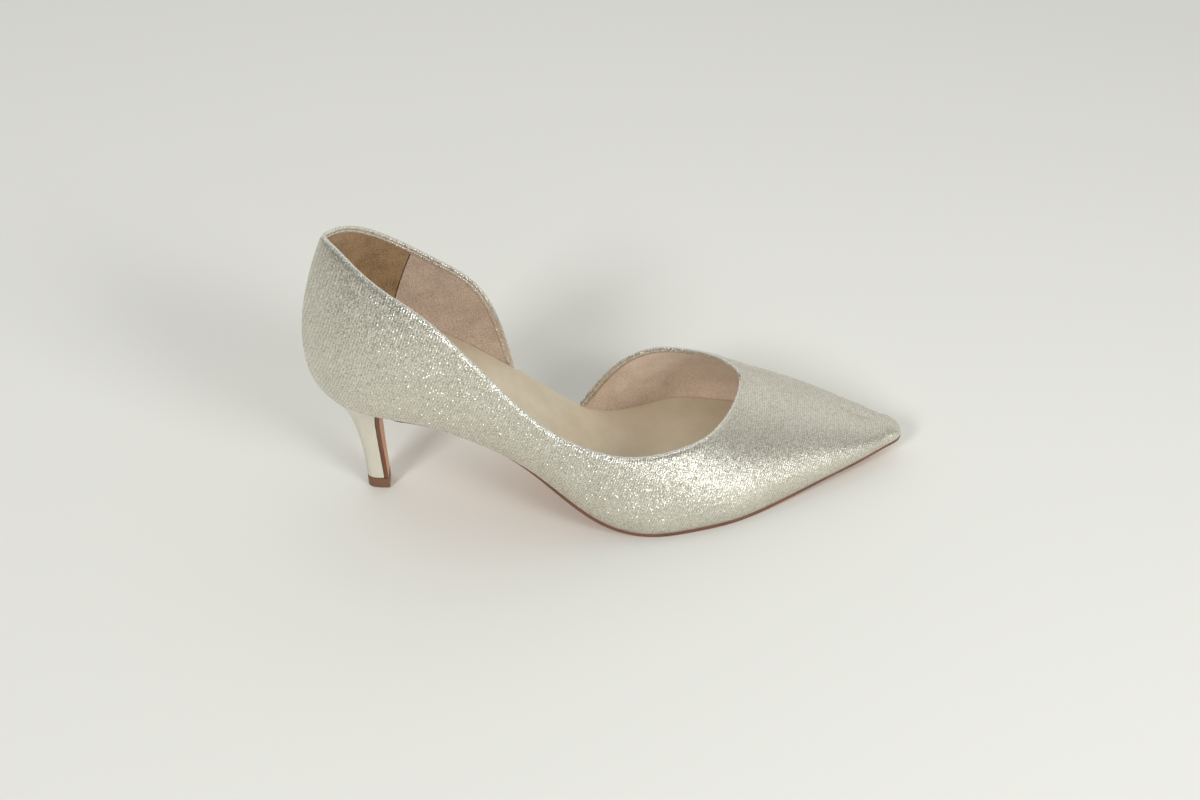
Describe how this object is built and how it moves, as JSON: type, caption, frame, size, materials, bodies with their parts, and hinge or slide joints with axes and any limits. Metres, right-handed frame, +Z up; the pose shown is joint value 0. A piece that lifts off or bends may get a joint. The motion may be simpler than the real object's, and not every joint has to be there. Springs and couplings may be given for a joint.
{
  "type": "pump shoe",
  "caption": "Pointed pump for the right foot, cut away along its inner side, in pale glitter cloth on a slim covered heel with a thin brown sole.",
  "frame": {"origin": "on the floor at the middle of the heel's top piece", "axes": "+X from heel to toe, +Y to the inner side of the foot, +Z up"},
  "size_m": [0.2448, 0.0857, 0.1279],
  "materials": {
    "glitter_cloth": "fine silver glitter on a pale cloth",
    "insole_leather": "smooth matt",
    "sole_leather": "smooth satin",
    "heel_cover": "plain matt cloth",
    "top_piece_rubber": "matt"
  },
  "bodies": {
    "root": {"upper": "glitter_cloth", "insole": "insole_leather", "outsole": "sole_leather", "heel": "heel_cover", "top_piece": "top_piece_rubber"}
  },
  "joints": []
}
